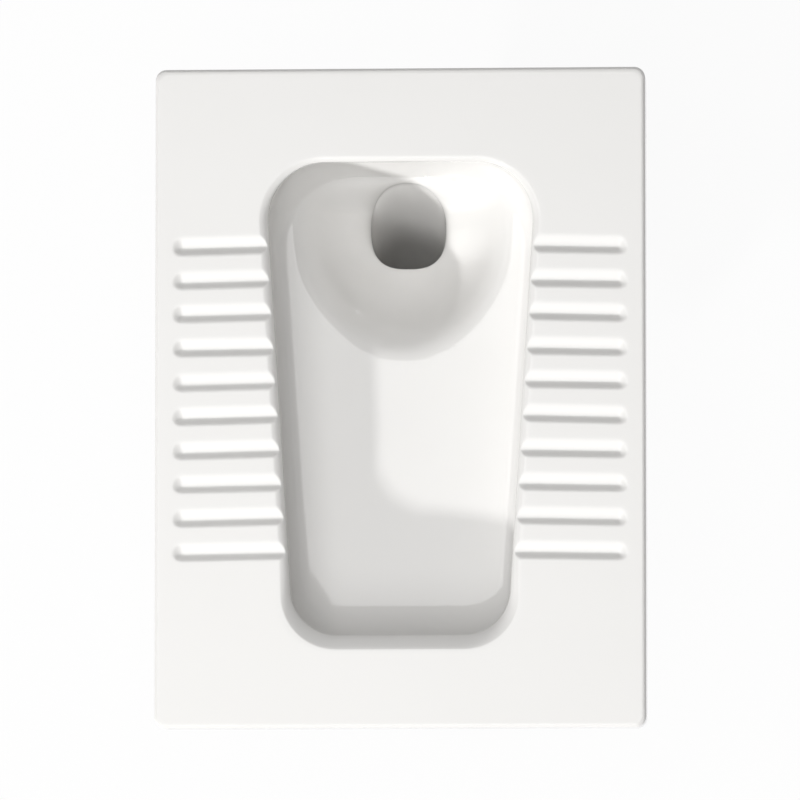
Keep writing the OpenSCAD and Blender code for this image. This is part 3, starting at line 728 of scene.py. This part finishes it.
def housing_section(groove, r):
    """Outline (out from the inlet's axis, across) of the arch over a band of radius r, a groove deep."""
    def side(inset):
        bow = arc((r + axis_high, 0), arch_r - groove - inset, 90, 0, 8)
        foot, skirt = r + foot_high - inset, skirt_half - inset
        half = np.vstack([[(r + 0.4, skirt), (foot, skirt), (foot, arch_r - groove - inset)], bow])
        return np.vstack([half, half[-2::-1] * [1, -1]])

    return np.vstack([side(0), side(sheet_t)[::-1]])


for clip, inner_r, clip_y in clip_spots:
    rings = []
    for y in np.linspace(-housing_half, housing_half, 41):
        beside = (y + np.array([-groove_y, groove_y])) / groove_wide
        section = housing_section(groove_deep * np.exp(-beside ** 2).sum(), inner_r)
        rings.append(np.column_stack([section[:, 0], np.full(len(section), y), section[:, 1]]))
    points, faces = skin(rings)
    housing = make_object(clip + "_clip_arch", on_inlet(points, clip_y), faces)
    fitted(housing, clip + "_clip_housing", "root", clip_steel)

# ---- The hose clips' screws ----
# Each screw has a one-start thread between two collars, and a chamfered hexagon head with a slot. It turns in
# its housing, so it rides on its own body.

screw_core, screw_out, head_r = 1.7, 2.45, 4.5
shank = 7.3
screw_slot_half, screw_slot_low = 0.6, 10.8


def screw_rings(r):
    """Rings of the screw from its tip to its head.

    The thread's radius is core + (out - core) smooth((0.75 - phase) / 0.4). The phase runs from 0 on the crest
    to 1 between crests, and follows height / pitch - turn / 2 pi.
    """
    turn = np.linspace(0, 2 * np.pi, 48, endpoint=False)
    hexagon = head_r * np.cos(np.pi / 6) / np.cos(np.mod(turn, np.pi / 3) - np.pi / 6)
    rows = [(-8.3, 2.2), (-8.2, 2.9), (-7.9, 3.3), (-7.5, 3.3), (-7.35, 3)]
    for high in np.linspace(-shank, shank, 74):
        phase = np.abs(np.mod(high / slot_pitch - turn / (2 * np.pi), 1) - 0.5) * 2
        rows.append((high, screw_core + (screw_out - screw_core) * smooth((0.75 - phase) / 0.4)))
    rows += [(7.35, 4), (7.5, 4.35), (8, 4.35), (8.2, 4.1), (8.3, np.minimum(hexagon, 4)), (8.5, hexagon),
             (11.5, hexagon), (12.1, np.minimum(hexagon, 4)), (12.3, 3.5)]
    rings = []
    for high, radius in rows:
        radius = np.broadcast_to(radius, turn.shape)
        rings.append(np.column_stack([r + axis_high + radius * np.cos(turn), np.full(len(turn), high),
                                      -radius * np.sin(turn)]))
    return rings


screw_steel = worn("zinc_plated_screw", [(0.6, 0.61, 0.62), (0.7, 0.69, 0.64)], (0.24, 0.42), 240, 2600,
                   0.01 * mm, metallic=1.0)
slot_sides = [[k, k + 4, (k + 1) % 4 + 4, (k + 1) % 4] for k in range(4)]
for clip, inner_r, clip_y in clip_spots:
    points, faces = skin(screw_rings(inner_r))
    screw = make_object(clip + "_clip_worm", on_inlet(points, clip_y), faces)
    slot_points = [[inner_r + axis_high + x, y, z * screw_slot_half] for y in (screw_slot_low, 13)
                   for x, z in ((-6, -1), (6, -1), (6, 1), (-6, 1))]
    slot_cutter = make_object("cutter", on_inlet(np.array(slot_points), clip_y),
                              [[0, 1, 2, 3], [7, 6, 5, 4]] + slot_sides)
    cut = screw.modifiers.new("slot", "BOOLEAN")
    cut.operation, cut.solver, cut.object = "DIFFERENCE", "MANIFOLD", slot_cutter
    settle(screw)
    bpy.data.objects.remove(slot_cutter)
    screw.data.materials.clear()
    fitted(screw, clip + "_clip_screw", clip + "_screw", screw_steel)

# ---- The outlet's seal ----
# A rubber ring with three inward fins and a flange that lies on the socket's edge. The fins bend down against
# the spigot.

outlet_axis = np.array([0, outlet_y, 0])
seal_root, seal_out, seal_tip, fin_n, fin_pitch = 53.8, 56.7, 51.25, 3, 10
seal_edge = [(seal_root, 43.2), (seal_out, 43.2), (seal_out, 82.1), (60.4, 82.1), (60.4, 84.9), (57, 84.9),
             (51.4, 84.2), (51.4, 83.2), (seal_root, 81)]
for high in spigot_z + fin_pitch * np.arange(fin_n, 0, -1):
    seal_edge += [(seal_root, high + 2), (seal_tip, high - 1.4),
                  (seal_tip, high - 2.4), (seal_root, high - 0.6)]
seal_grid = lathe(rounded(seal_edge, 0.7, 3), turns_with(96, (), 0)) + outlet_axis
seal = make_object("finned_seal", *wrapped(seal_grid))
seal_rubber = worn("grey_seal_rubber", [(0.03, 0.03, 0.031), (0.07, 0.068, 0.066)], (0.5, 0.72), 70, 1100,
                   0.05 * mm)
fitted(seal, "connector_seal", "root", seal_rubber)

# ---- The outlet connector ----
# A moulded plastic socket on a 110 mm sleeve. Grip ribs stand round the socket under its thick mouth, three
# shallow rings mark the sleeve, and the mould's halves leave a fine line.

sleeve_r, mark_r, socket_r, mouth_r, socket_in = 55, 54.7, 59.6, 60.5, 57
rib_low, rib_high, rib_n, rib_out = 46, 72, 36, 0.75
socket_edge = [(51.5, 0), (53.8, 0), (sleeve_r, 3)]
for mark in (9.5, 17.5, 25.5):
    socket_edge += [(sleeve_r, mark), (mark_r, mark + 0.3), (mark_r, mark + 1.1), (sleeve_r, mark + 1.4)]
socket_edge += [(sleeve_r, 36.6), (socket_r, 41), (socket_r, 44), (socket_r, rib_low), (socket_r, rib_high),
                (socket_r, 74), (socket_r, 75.4), (mouth_r, 76.2), (mouth_r, 81.6), (mouth_r - 0.3, 82)]
outside_n = len(socket_edge)
socket_edge += [(socket_in, 82), (socket_in, 42), (40, 42), (40, 38), (51.5, 38)]
ribbed = np.repeat([high in (rib_low, rib_high) for _, high in socket_edge], 4)
seamed = np.repeat(np.arange(len(socket_edge)) < outside_n, 4)
seam_turn, seam_wide, seam_high = 0.01, np.radians(0.3), 0.15
socket_turns = turns_with(288, (seam_turn, np.pi + seam_turn), seam_wide)
rib = rib_out * smooth(0.9 + 1.6 * np.cos(rib_n * socket_turns))[:, None] * ribbed
seam = seam_high * np.exp(-(np.sin(socket_turns - seam_turn) / seam_wide) ** 2)[:, None] * seamed
socket_grid = lathe(rounded(socket_edge, 0.6, 3), socket_turns, np.maximum(rib, seam)) + outlet_axis
socket = make_object("socket_and_sleeve", *wrapped(socket_grid))
plastic = worn("white_plastic", [(0.74, 0.74, 0.725), (0.78, 0.78, 0.77)], (0.34, 0.46), 30, 1600, 0.02 * mm)
fitted(socket, "outlet_connector", "root", plastic)

# ---- The studio ----
# A pale floor under the pan, one low key light, a soft overhead panel and a white fill, and the camera high
# above. The camera and mirrors see the floor and the room as nearly white, and from below the floor is clear.

floor_half = 3000
floor_points = np.array([(-floor_half, -floor_half, -1), (floor_half, -floor_half, -1),
                         (floor_half, floor_half, -1), (-floor_half, floor_half, -1)], float)
floor = make_object("studio_floor", floor_points, [[0, 1, 2, 3]])


def maths(tree, operation, first, second):
    """A math node, held to 0 and 1, of two inputs that are sockets or numbers; returns its value socket."""
    node = tree.nodes.new("ShaderNodeMath")
    node.operation, node.use_clamp = operation, True
    for socket, source in zip(node.inputs, (first, second)):
        if isinstance(source, bpy.types.NodeSocket):
            tree.links.new(source, socket)
        else:
            socket.default_value = source
    return node.outputs["Value"]


def mixed(tree, share, first, second):
    """A mix of two shaders by a share; returns its shader socket."""
    node = tree.nodes.new("ShaderNodeMixShader")
    for socket, source in zip(node.inputs, (share, first, second)):
        tree.links.new(source, socket)
    return node.outputs["Shader"]


paper = bpy.data.materials.new("studio_paper")
paper.use_nodes = True
tree = paper.node_tree
paper_shader = tree.nodes["Principled BSDF"]
paper_shader.inputs["Base Color"].default_value = (0.8, 0.8, 0.8, 1)
paper_shader.inputs["Roughness"].default_value = 0.9
path, geometry = tree.nodes.new("ShaderNodeLightPath"), tree.nodes.new("ShaderNodeNewGeometry")
white, clear = tree.nodes.new("ShaderNodeEmission"), tree.nodes.new("ShaderNodeBsdfTransparent")
white.inputs["Strength"].default_value = 1
seen = maths(tree, "MAXIMUM", path.outputs["Is Camera Ray"], path.outputs["Is Glossy Ray"])
faint = maths(tree, "MULTIPLY", seen, 0.94)
sheet_of_paper = mixed(tree, faint, paper_shader.outputs["BSDF"], white.outputs["Emission"])
one_sided = mixed(tree, geometry.outputs["Backfacing"], sheet_of_paper, clear.outputs["BSDF"])
tree.links.new(one_sided, tree.nodes["Material Output"].inputs["Surface"])
floor.data.materials.append(paper)

world = bpy.data.worlds.new("studio_fill")
bpy.context.scene.world = world
world.use_nodes = True
tree = world.node_tree
backdrop, room_fill = tree.nodes["Background"], tree.nodes.new("ShaderNodeBackground")
for background, strength in ((backdrop, 1), (room_fill, 0.3)):
    background.inputs["Color"].default_value = (1, 1, 1, 1)
    background.inputs["Strength"].default_value = strength
path = tree.nodes.new("ShaderNodeLightPath")
mirrored = maths(tree, "MULTIPLY", path.outputs["Is Glossy Ray"], 0.6)
outright = maths(tree, "ADD", path.outputs["Is Camera Ray"], mirrored)
see_through = maths(tree, "ADD", outright, path.outputs["Is Transmission Ray"])
room = mixed(tree, see_through, room_fill.outputs["Background"], backdrop.outputs["Background"])
tree.links.new(room, tree.nodes["World Output"].inputs["Surface"])


def place(thing, position, towards, up=(0, 1, 0)):
    """Puts a lamp or a camera at a position, looking at a point, with its top towards up."""
    back = np.array(position, float) - towards
    back /= np.linalg.norm(back)
    right = np.cross(up, back)
    right /= np.linalg.norm(right)
    basis = np.eye(4)
    basis[:3, 0], basis[:3, 1], basis[:3, 2], basis[:3, 3] = right, np.cross(back, right), back, position
    thing.matrix_world = basis.T.tolist()


def add_light(kind, strength, position, towards, **size):
    """A lamp of a kind and a strength at a position, shining at a point."""
    lamp = bpy.data.lights.new(kind.lower(), kind)
    lamp.energy = strength
    for name, value in size.items():
        setattr(lamp, name, value)
    thing = bpy.data.objects.new(lamp.name, lamp)
    bpy.context.scene.collection.objects.link(thing)
    place(thing, position, towards)


key_height = np.radians(24.4)
key_from = np.array([-0.525 * np.cos(key_height), -0.851 * np.cos(key_height), np.sin(key_height)])
add_light("SUN", 2.1, 3 * key_from, (0, 0, 0), angle=np.radians(3))
panel_x, panel_y = -0.7, -1.18
add_light("AREA", 58, (panel_x, panel_y, 2.8), (panel_x, panel_y, 0), shape="RECTANGLE", size=2.1, size_y=3.6)

plate_centre = np.array([0.0002, -0.0029, top_z * mm])
towards_camera = np.array([0.061, -0.079, 1])
camera_far, view_w = 8.5, 0.7256
camera_data = bpy.data.cameras.new("camera")
camera_data.lens = camera_data.sensor_width * camera_far / view_w
camera_data.clip_end = 20
camera = bpy.data.objects.new("camera", camera_data)
bpy.context.scene.collection.objects.link(camera)
place(camera, plate_centre + camera_far * towards_camera / np.linalg.norm(towards_camera), plate_centre)
bpy.context.scene.camera = camera
bpy.context.scene.view_settings.view_transform = "Standard"
